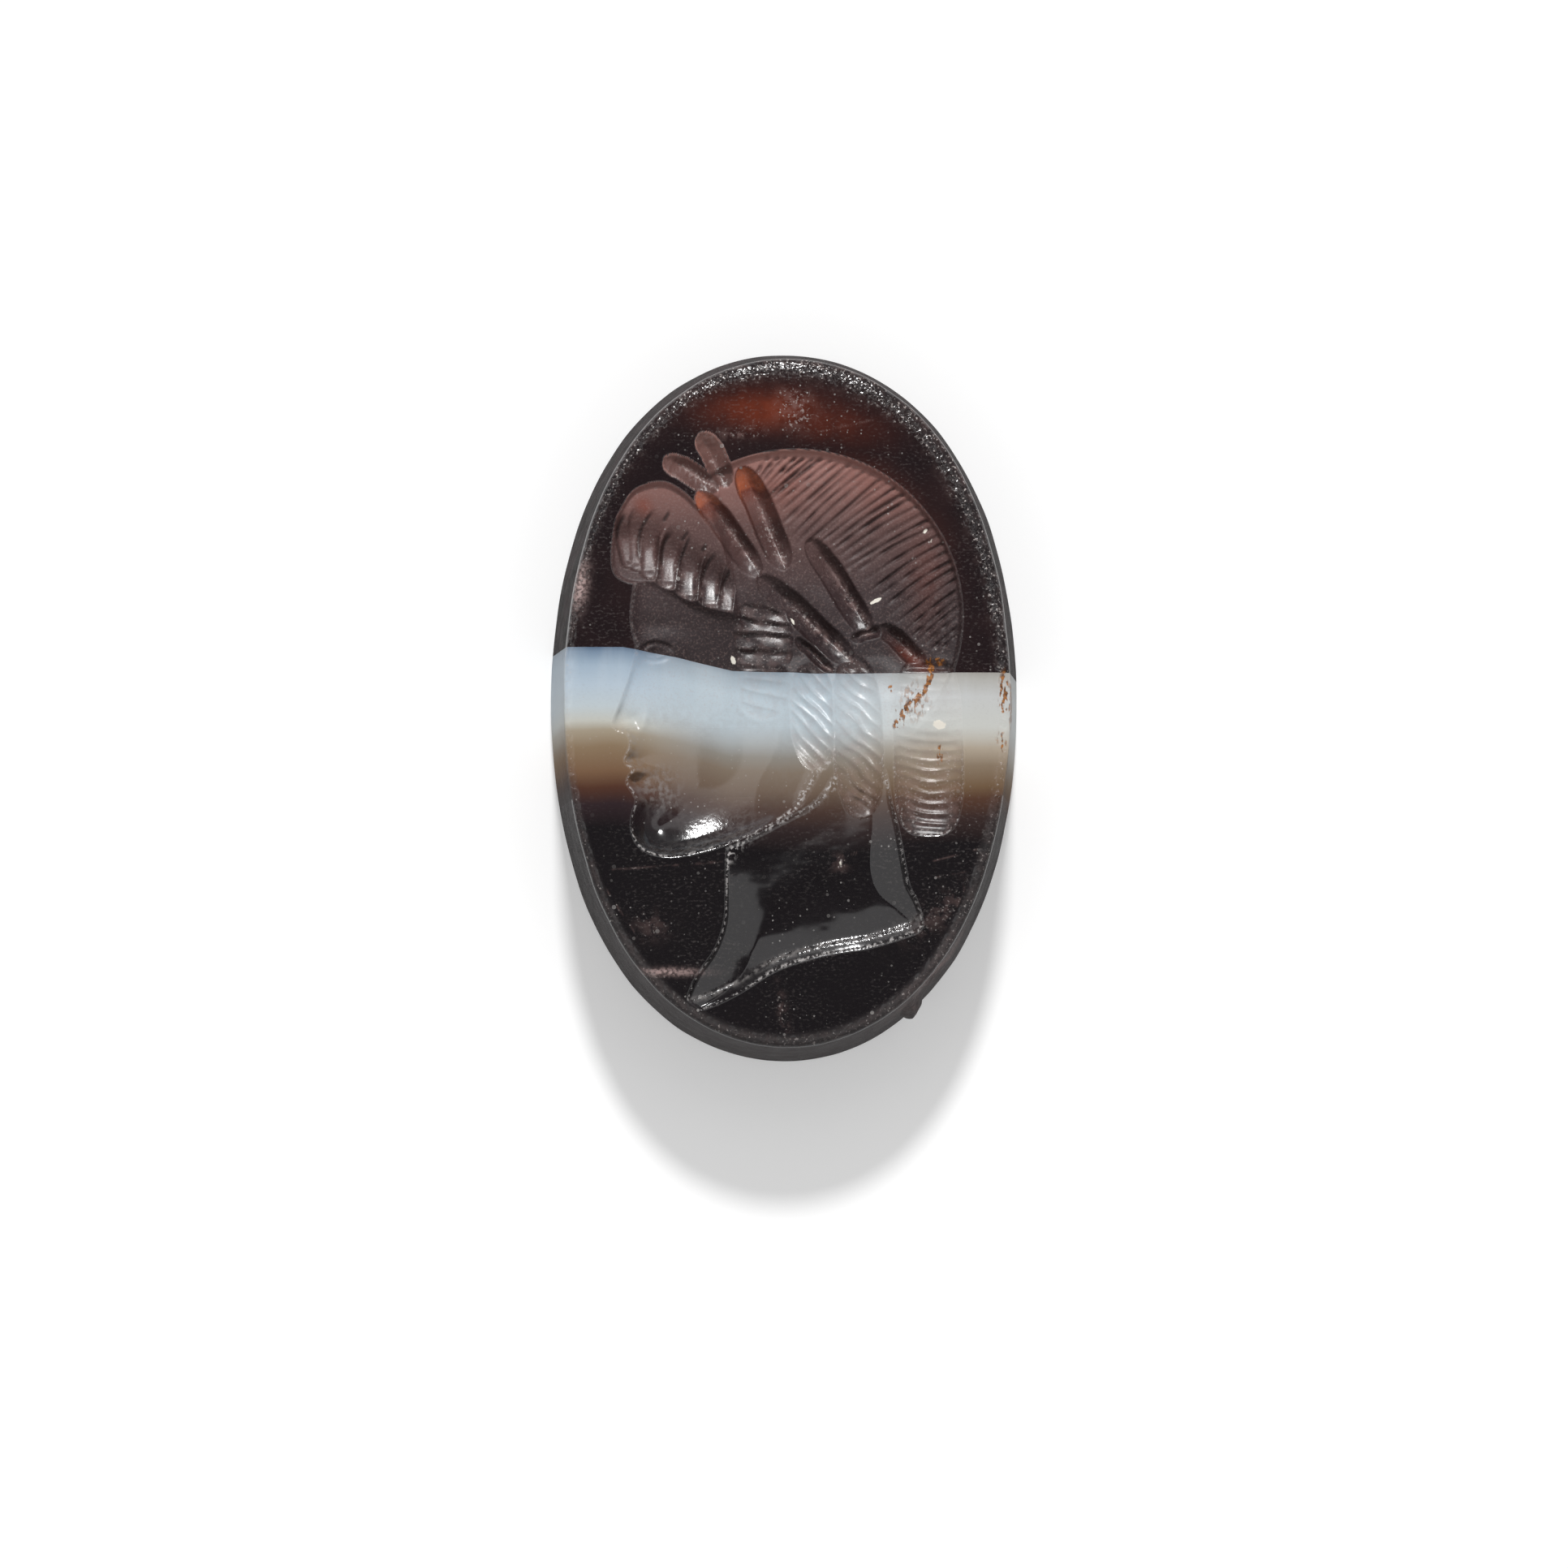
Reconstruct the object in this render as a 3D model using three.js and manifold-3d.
// Agate ring stone: an oval sealstone of banded agate, flat on the face and on the back, with a
// wreathed head in profile sunk into its face. The natural layers of the agate are separate meshes.
// Millimetres. Origin in the middle of the flat back, X across the stone, Y up its long axis and
// Z out of the engraved face.

import * as THREE from "three";
import { mergeVertices } from "three/addons/utils/BufferGeometryUtils.js";
import Module from "manifold-3d";

const wasm = await Module();
wasm.setup();

// The oval stone
const stoneLength = 15;
const stoneWidth = 9.9;
const stoneThickness = 3.1;
const outlineSteps = 112;
const fullnessShare = 0.093;
const eggShare = 0.009;

// The edge, from the back upwards: bevel, girdle, leaning wall and rolled rim
const backBevel = 0.13;
const girdleHeight = 0.34;
const wallLean = 0.23;
const rimWidth = 0.26;
const rimWidening = 0.32;
const rimDrop = 0.15;
const rimSteps = 4;
const rimWideAngle = THREE.MathUtils.degToRad(68);

// The rough spur beside the chip on the lower right of the wall
const spurLength = 0.62;
const spurThickness = 0.42;
const spurHeight = 1.5;
const spurProud = 0.085;
const spurAngle = THREE.MathUtils.degToRad(-58.5);

// The natural layers: the height of each seam up the long axis, and how much higher its left end is
const whiteTop = 0.75;
const whiteTopStep = 0.53;
const whiteFoot = -0.86;
const whiteFootStep = 0.3;
const honeyFoot = -1.83;
const honeyFootStep = -0.1;
const seamLean = 0.03;
const seamPlaceShares = [-0.7, -0.46, -0.23, 0.12];
const seamStepShares = [1, 0.62, 0.13, 0];

// The engraved head: its height from crown to chin, and where its middle lies
const headHeight = 8.7;
const headAside = 0.15;
const headRise = 1.2;

// Depths and widths of the wheel cuts
const capDepth = 0.5;
const faceDepth = 0.3;
const faceSlope = 0.13;
const cheekDepth = 0.64;
const jawDepth = 0.52;
const featureDepth = 0.46;
const hairLineWidth = 0.16;
const hairLineDepth = 0.17;
const hairLines = 18;
const rollDepth = 0.5;
const rollWidth = 1.25;
const ribWidth = 0.46;
const ribDepth = 0.72;
const leafWidth = 0.62;
const deepLeafDepth = 0.88;
const shallowLeafDepth = 0.17;
const lockDepth = 0.66;
const coilWidth = 0.3;
const coilDepth = 0.12;
const neckDepth = 0.3;
const neckSlope = 0.14;
const trimWidth = 0.42;
const trimDepth = 0.4;

// Overrun of every cutting solid past what it cuts, and the smallest step that counts as one
const overrun = 1;
const smallest = 1e-4;

// How much of a cutting ball's height stays above the face: a higher share leaves a flatter hollow
const dishRiseShare = 0.3;

// Faces round and along the cutting balls, from the broad hollows down to the finest lines
const broadBall = { sides: 40, rings: 20 };
const middleBall = { sides: 24, rings: 16 };
const smallBall = { sides: 12, rings: 10 };
const strokeBall = { sides: 8, rings: 8 };
const lineBall = { sides: 4, rings: 6 };

// Makes a solid of a closed three.js geometry
function solidOf(geometry) {
  const bare = geometry.index ? geometry.toNonIndexed() : geometry.clone();
  bare.deleteAttribute("normal");
  bare.deleteAttribute("uv");
  const merged = mergeVertices(bare, smallest);
  return new wasm.Manifold(
    new wasm.Mesh({
      numProp: 3,
      vertProperties: merged.attributes.position.array,
      triVerts: new Uint32Array(merged.index.array),
    }),
  );
}

// Makes a geometry of a solid again
function geometryOf(solid) {
  const mesh = solid.getMesh();
  const geometry = new THREE.BufferGeometry();
  geometry.setAttribute("position", new THREE.BufferAttribute(mesh.vertProperties, mesh.numProp));
  geometry.setIndex(new THREE.BufferAttribute(mesh.triVerts, 1));
  geometry.computeVertexNormals();
  return geometry;
}

// The widest outline of the stone: an oval with full shoulders, a little fuller above the middle
function outline(angle) {
  const up = Math.sin(angle);
  const swell = 1 + eggShare * up + fullnessShare * up * up;
  return new THREE.Vector2((stoneWidth / 2) * Math.cos(angle) * swell, (stoneLength / 2) * up);
}

// A point inside the outline by an inset measured square to it
function insetPoint(angle, inset) {
  const along = outline(angle + smallest).sub(outline(angle - smallest)).normalize();
  const outward = new THREE.Vector2(along.y, -along.x);
  return outline(angle).addScaledVector(outward, -inset);
}

// The rolled rim is widest at the upper right and narrowest opposite
function rimWidthAt(angle) {
  return rimWidth + (rimWidening * (1 + Math.cos(angle - rimWideAngle))) / 2;
}

// The stone before carving: a turned profile whose rings are moved out to the oval
function blankStone() {
  const radius = stoneWidth / 2;
  const wallTop = stoneThickness - rimDrop;
  const profile = [
    new THREE.Vector2(0, 0),
    new THREE.Vector2(radius - backBevel, 0),
    new THREE.Vector2(radius, girdleHeight),
  ];
  for (let step = 0; step <= rimSteps; step++) {
    const turn = ((Math.PI / 2) * step) / rimSteps;
    const inset = wallLean + rimWidth * (1 - Math.cos(turn));
    const height = wallTop + rimDrop * Math.sin(turn);
    profile.push(new THREE.Vector2(radius - inset, height));
  }
  profile.push(new THREE.Vector2(0, stoneThickness));
  const turned = new THREE.LatheGeometry(profile, outlineSteps).rotateX(Math.PI / 2);
  const places = turned.attributes.position;
  for (let i = 0; i < places.count; i++) {
    const angle = Math.atan2(places.getY(i), places.getX(i));
    const reach = Math.hypot(places.getX(i), places.getY(i));
    if (reach < smallest) continue;
    const inset = radius - reach;
    const onRim = places.getZ(i) > wallTop + smallest;
    const rolled = wallLean + ((inset - wallLean) * rimWidthAt(angle)) / rimWidth;
    const moved = insetPoint(angle, onRim ? rolled : inset);
    places.setXY(i, moved.x, moved.y);
  }
  return solidOf(turned);
}

// The rough lump left standing beside the chip
function spur() {
  const lump = new THREE.SphereGeometry(1, smallBall.sides, smallBall.rings);
  const centre = insetPoint(spurAngle, spurThickness - spurProud);
  const along = outline(spurAngle + smallest).sub(outline(spurAngle));
  lump.scale(spurLength / 2, spurThickness, spurLength);
  lump.rotateZ(Math.atan2(along.y, along.x));
  lump.translate(centre.x, centre.y, spurHeight);
  return solidOf(lump);
}

// A place on the face, given as shares of the head's height from the head's middle
function place([acrossShare, upShare]) {
  return new THREE.Vector2(headAside + acrossShare * headHeight, headRise + upShare * headHeight);
}

// A ball-shaped hollow from one end to the other, cut to a depth below the face
function hollow(start, end, width, depth, { sides, rings }) {
  const along = end.clone().sub(start);
  const middle = start.clone().add(end).multiplyScalar(0.5);
  const bite = Math.sqrt(1 - dishRiseShare * dishRiseShare);
  const height = depth / (1 - dishRiseShare);
  const ball = new THREE.SphereGeometry(1, sides, rings);
  ball.scale(width / 2 / bite, along.length() / 2 / bite, height);
  ball.rotateZ(Math.atan2(along.y, along.x) - Math.PI / 2);
  ball.translate(middle.x, middle.y, stoneThickness + dishRiseShare * height);
  return solidOf(ball);
}

// A round hollow about a middle, with its half sizes as shares of the head's height
function bowl(bowlShares, depth, ball) {
  const middle = place(bowlShares.middle);
  const half = new THREE.Vector2(0, bowlShares.half[1] * headHeight);
  const start = middle.clone().sub(half);
  return hollow(start, middle.add(half), 2 * bowlShares.half[0] * headHeight, depth, ball);
}

// A pocket whose flat floor has the given outline, with sides that slope outwards up to the face
function pocket(shape, depth, slope) {
  const block = new THREE.ExtrudeGeometry(shape, {
    depth: overrun,
    bevelThickness: depth,
    bevelSize: slope,
    bevelSegments: 2,
  });
  return solidOf(block.translate(0, 0, stoneThickness));
}

// The crown and back of the head, and the long cuts combed across it from the wreath to its edge
const capShares = { middle: [0.013, 0.085], half: [0.392, 0.412] };
const partingShares = { start: [-0.1, 0.44], end: [0.27, -0.01] };

// The combed lines rise steeply at the front, flatten over the crown and steepen again at the back
const combStart = THREE.MathUtils.degToRad(46);
const combFlattening = THREE.MathUtils.degToRad(26);
const combFall = THREE.MathUtils.degToRad(8);
const combCrownShare = 0.6;

function hairCap() {
  return bowl(capShares, capDepth, broadBall);
}

function hairLineCuts() {
  const start = place(partingShares.start);
  const end = place(partingShares.end);
  const middle = place(capShares.middle);
  const halfWidth = capShares.half[0] * headHeight;
  const halfHeight = capShares.half[1] * headHeight;
  const cuts = [];
  for (let line = 0; line < hairLines; line++) {
    const share = line / (hairLines - 1);
    const from = start.clone().lerp(end, share);
    const overCrown = Math.sin(Math.PI * share ** combCrownShare);
    const turn = combStart - combFlattening * overCrown - combFall * share;
    const step = new THREE.Vector2(Math.cos(turn), Math.sin(turn));
    const toEdge = reachOfEllipse(from.clone().sub(middle), step, halfWidth, halfHeight);
    const length = Math.max(hairLineWidth, toEdge - hairLineWidth);
    const to = from.clone().addScaledVector(step, length);
    const depth = capDepth * depthShareAt(from.clone().lerp(to, 0.5), middle, halfWidth, halfHeight);
    cuts.push(hollow(from, to, 2 * hairLineWidth, depth + hairLineDepth, lineBall));
  }
  return cuts;
}

// How far a ray runs from a point inside an ellipse about the origin to its edge
function reachOfEllipse(from, step, halfWidth, halfHeight) {
  const a = (step.x / halfWidth) ** 2 + (step.y / halfHeight) ** 2;
  const b = (from.x * step.x) / halfWidth ** 2 + (from.y * step.y) / halfHeight ** 2;
  const c = (from.x / halfWidth) ** 2 + (from.y / halfHeight) ** 2 - 1;
  return (-b + Math.sqrt(Math.max(0, b * b - a * c))) / a;
}

// The share of its full depth that a ball-shaped hollow has at a point
function depthShareAt(point, middle, halfWidth, halfHeight) {
  const bite = 1 - dishRiseShare * dishRiseShare;
  const out = ((point.x - middle.x) / halfWidth) ** 2 + ((point.y - middle.y) / halfHeight) ** 2;
  return Math.max(0, (Math.sqrt(1 - bite * out) - dishRiseShare) / (1 - dishRiseShare));
}

// The face: a profile of even thirds, with the brow 0.45, the nose 0.7 and the mouth 0.79 down the head
const profileShares = [
  [-0.36, 0.21],
  [-0.385, 0.13],
  [-0.388, 0.06],
  [-0.365, 0.01],
  [-0.4, -0.08],
  [-0.442, -0.165],
  [-0.425, -0.195],
  [-0.385, -0.205],
  [-0.402, -0.255],
  [-0.378, -0.29],
  [-0.396, -0.325],
  [-0.37, -0.36],
  [-0.39, -0.43],
  [-0.355, -0.485],
  [-0.29, -0.5],
];
const jawShares = [
  [-0.12, -0.455],
  [0.06, -0.36],
  [0.12, -0.2],
  [0.1, 0.1],
  [-0.15, 0.25],
];


// Round cuts that model the cheek, the jaw and the chin
const cheekShares = { middle: [-0.17, -0.14], half: [0.17, 0.29] };
const jawBowlShares = { middle: [-0.2, -0.33], half: [0.2, 0.15] };
const chinShares = { middle: [-0.33, -0.425], half: [0.055, 0.06] };

// Short strokes for the eye, brow, nose and lips: start, end and width
const strokeShares = [
  [-0.36, 0.02, -0.24, 0.005, 0.045],
  [-0.4, 0.065, -0.22, 0.06, 0.03],
  [-0.37, 0, -0.4, -0.18, 0.07],
  [-0.4, -0.255, -0.31, -0.28, 0.045],
  [-0.39, -0.325, -0.31, -0.3, 0.045],
];

function faceCuts() {
  const shape = new THREE.Shape([...profileShares, ...jawShares].map(place));
  const strokes = strokeShares.map(([startAcross, startUp, endAcross, endUp, widthShare]) => {
    const start = place([startAcross, startUp]);
    const width = widthShare * headHeight;
    return hollow(start, place([endAcross, endUp]), width, featureDepth, strokeBall);
  });
  return [
    pocket(shape, faceDepth, faceSlope),
    bowl(cheekShares, cheekDepth, middleBall),
    bowl(jawBowlShares, jawDepth, middleBall),
    bowl(chinShares, featureDepth, smallBall),
    ...strokes,
  ];
}

// The roll of hair over the forehead, with its ribs
const rollShares = [
  [-0.395, 0.28],
  [-0.355, 0.34],
  [-0.29, 0.345],
  [-0.22, 0.3],
  [-0.155, 0.235],
  [-0.1, 0.18],
];
const ribShares = [
  [-0.388, 0.33, -0.392, 0.225],
  [-0.35, 0.365, -0.352, 0.205],
  [-0.3, 0.355, -0.308, 0.18],
  [-0.243, 0.33, -0.257, 0.15],
  [-0.19, 0.3, -0.208, 0.13],
  [-0.14, 0.255, -0.157, 0.115],
];

function rollCuts() {
  const cuts = [];
  for (let i = 1; i < rollShares.length; i++) {
    const start = place(rollShares[i - 1]);
    const end = place(rollShares[i]);
    const lap = end.clone().sub(start).setLength(rollWidth / 3);
    cuts.push(hollow(start.sub(lap), end.add(lap), rollWidth, rollDepth, smallBall));
  }
  for (const [startAcross, startUp, endAcross, endUp] of ribShares) {
    const start = place([startAcross, startUp]);
    cuts.push(hollow(start, place([endAcross, endUp]), ribWidth, ribDepth, strokeBall));
  }
  return cuts;
}

// The wreath: each leaf is one lens-shaped cut from tip to stalk, at a share of the leaf width
const deepLeafShares = [
  [-0.232, 0.38, -0.08, 0.192, 1],
  [-0.117, 0.445, -0.018, 0.21, 1.1],
  [0.042, 0.258, 0.186, 0.048, 1.05],
  [-0.05, 0.17, 0.155, -0.028, 1.2],
  [0.228, 0.052, 0.33, -0.03, 0.85],
];
const shallowLeafShares = [
  [-0.215, 0.525, -0.15, 0.41, 1.05],
  [-0.305, 0.465, -0.18, 0.395, 1],
];

function leafCuts(leafShares, depth) {
  return leafShares.map(([tipAcross, tipUp, stalkAcross, stalkUp, widthShare]) => {
    const tip = place([tipAcross, tipUp]);
    return hollow(tip, place([stalkAcross, stalkUp]), leafWidth * widthShare, depth, strokeBall);
  });
}

// The locks below the wreath: a long hollow each, crossed by short cuts like the turns of a cord
const locks = [
  { topShares: [-0.06, 0.115], footShares: [-0.055, -0.05], widthShare: 0.13, turns: 4, slant: 0 },
  { topShares: [-0.055, -0.02], footShares: [0, -0.18], widthShare: 0.12, turns: 4, slant: -25 },
  { topShares: [0.03, -0.06], footShares: [0.085, -0.285], widthShare: 0.125, turns: 6, slant: -45 },
  { topShares: [0.15, -0.04], footShares: [0.175, -0.41], widthShare: 0.13, turns: 8, slant: -45 },
  { topShares: [0.325, -0.05], footShares: [0.332, -0.445], widthShare: 0.172, turns: 9, slant: -8 },
];
const coilReachShare = 0.84;

function lockCuts({ topShares, footShares, widthShare, turns, slant }) {
  const start = place(topShares);
  const end = place(footShares);
  const width = widthShare * headHeight;
  const cuts = [hollow(start, end, width, lockDepth, smallBall)];
  const slantAngle = THREE.MathUtils.degToRad(slant);
  const half = new THREE.Vector2(Math.cos(slantAngle), Math.sin(slantAngle));
  half.multiplyScalar((width * coilReachShare) / 2);
  for (let turn = 1; turn <= turns; turn++) {
    const middle = start.clone().lerp(end, turn / (turns + 1));
    const from = middle.clone().sub(half);
    cuts.push(hollow(from, middle.add(half), coilWidth, lockDepth + coilDepth, lineBall));
  }
  return cuts;
}

// The neck, and the curved wheel cut that trims it off below
const neckShares = [
  [-0.154, -0.44],
  [-0.156, -0.66],
  [-0.175, -0.735],
  [-0.22, -0.805],
  [-0.248, -0.85],
  [-0.236, -0.868],
];
const napeShares = [
  [0.325, -0.685],
  [0.29, -0.6],
  [0.26, -0.4],
];
const trimShares = [
  [-0.255, -0.885],
  [-0.15, -0.815],
  [-0.03, -0.752],
  [0.13, -0.713],
  [0.315, -0.685],
];

function neckCuts() {
  const shape = new THREE.Shape([...neckShares, ...trimShares.slice(1, -1), ...napeShares].map(place));
  const cuts = [pocket(shape, neckDepth, neckSlope)];
  for (let i = 1; i < trimShares.length; i++) {
    const start = place(trimShares[i - 1]);
    const end = place(trimShares[i]);
    const lap = end.clone().sub(start).setLength(trimWidth / 2);
    if (i > 1) start.sub(lap);
    if (i < trimShares.length - 1) end.add(lap);
    cuts.push(hollow(start, end, trimWidth, trimDepth, strokeBall));
  }
  return cuts;
}

// The whole engraving as one cutting solid
function engraving() {
  const cuts = [
    hairCap(),
    ...hairLineCuts(),
    ...faceCuts(),
    ...rollCuts(),
    ...leafCuts(deepLeafShares, deepLeafDepth),
    ...leafCuts(shallowLeafShares, shallowLeafDepth),
    ...locks.flatMap(lockCuts),
    ...neckCuts(),
  ];
  return cuts.reduce((all, cut) => all.add(cut));
}

// The line of a seam between two layers, from left to right across the stone
function seamLine(level, step) {
  const reach = stoneWidth / 2 + overrun;
  const inner = seamPlaceShares.map(
    (share, i) => new THREE.Vector2((share * stoneWidth) / 2, level + step * seamStepShares[i]),
  );
  return [new THREE.Vector2(-reach, level + step), ...inner, new THREE.Vector2(reach, level)];
}

// The space that a layer fills between its upper and lower seams, leaning a little with the depth
function layerSpace(upper, lower) {
  const shape = new THREE.Shape([...upper, ...lower.slice().reverse()]);
  const block = new THREE.ExtrudeGeometry(shape, {
    depth: stoneThickness + 2 * overrun,
    bevelEnabled: false,
  });
  block.translate(0, 0, -overrun);
  block.applyMatrix4(new THREE.Matrix4().makeShear(0, 0, 0, 0, 0, seamLean));
  block.translate(0, -seamLean * stoneThickness, 0);
  return solidOf(block);
}

// Finishes of the layers: a polished stone throughout, coloured by its bands
function polishedAgate(colour, roughness) {
  return new THREE.MeshStandardMaterial({ color: colour, roughness, metalness: 0 });
}

const finishes = {
  darkSard: polishedAgate(0x3b2223, 0.3),
  milkWhite: polishedAgate(0xbcc8d2, 0.32),
  honeyBrown: polishedAgate(0x7a5a40, 0.28),
  deepBlack: polishedAgate(0x1c1a1b, 0.22),
};

// The stone, carved, then parted along its seams
function layersOfStone() {
  const carved = blankStone().add(spur()).subtract(engraving());
  const reach = stoneLength / 2 + overrun;
  const above = seamLine(reach, 0);
  const below = seamLine(-reach, 0);
  const seams = [
    above,
    seamLine(whiteTop, whiteTopStep),
    seamLine(whiteFoot, whiteFootStep),
    seamLine(honeyFoot, honeyFootStep),
    below,
  ];
  const layers = [
    ["dark_sard_layer", finishes.darkSard],
    ["white_band", finishes.milkWhite],
    ["honey_band", finishes.honeyBrown],
    ["black_layer", finishes.deepBlack],
  ];
  return layers.map(([name, finish], i) => {
    const layer = carved.intersect(layerSpace(seams[i], seams[i + 1]));
    const mesh = new THREE.Mesh(geometryOf(layer), finish);
    mesh.name = name;
    return mesh;
  });
}

const ringStone = new THREE.Group();
ringStone.name = "agate_ring_stone";
ringStone.add(...layersOfStone());

export default ringStone;
